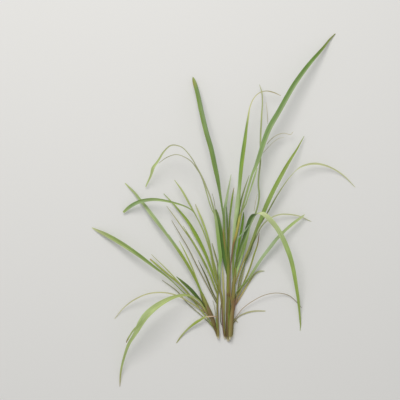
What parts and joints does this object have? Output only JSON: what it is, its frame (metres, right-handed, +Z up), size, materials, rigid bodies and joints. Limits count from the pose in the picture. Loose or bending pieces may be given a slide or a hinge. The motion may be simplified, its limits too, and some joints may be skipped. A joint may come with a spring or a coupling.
{
  "type": "lemongrass clump",
  "caption": "Cut lemongrass clump lying flat: slim leafy stalks side by side, long narrow keeled leaves fanning out, some arching over, with dead outer sheaths at the foot",
  "frame": {"origin": "the flat underside of the thickest stalk near its cut end, where it rests on the surface", "axes": "+Z up from the surface that the clump lies on, +Y along the stalks from their cut ends to the leaf tips, +X to the right as seen from above"},
  "size_m": [0.661, 0.8861, 0.0935],
  "materials": {
    "fresh_leaf": "fresh grass leaf and stalk, satin, fine veins along its length",
    "dry_sheath": "dead papery sheath, matt, brown with a purple tinge",
    "dying_leaf": "dying leaf, matt, yellow above and brown below"
  },
  "bodies": {
    "root": {"left_leaning_stalk": "fresh_leaf", "left_upright_stalk": "fresh_leaf", "left_of_centre_stalk": "fresh_leaf", "centre_stalk": "fresh_leaf", "right_of_centre_stalk": "fresh_leaf", "right_stalk": "fresh_leaf", "left_leaning_dry_sheath": "dry_sheath", "centre_dry_sheath": "dry_sheath", "right_dry_sheath": "dry_sheath", "dying_outer_leaf": "dying_leaf"}
  },
  "joints": []
}
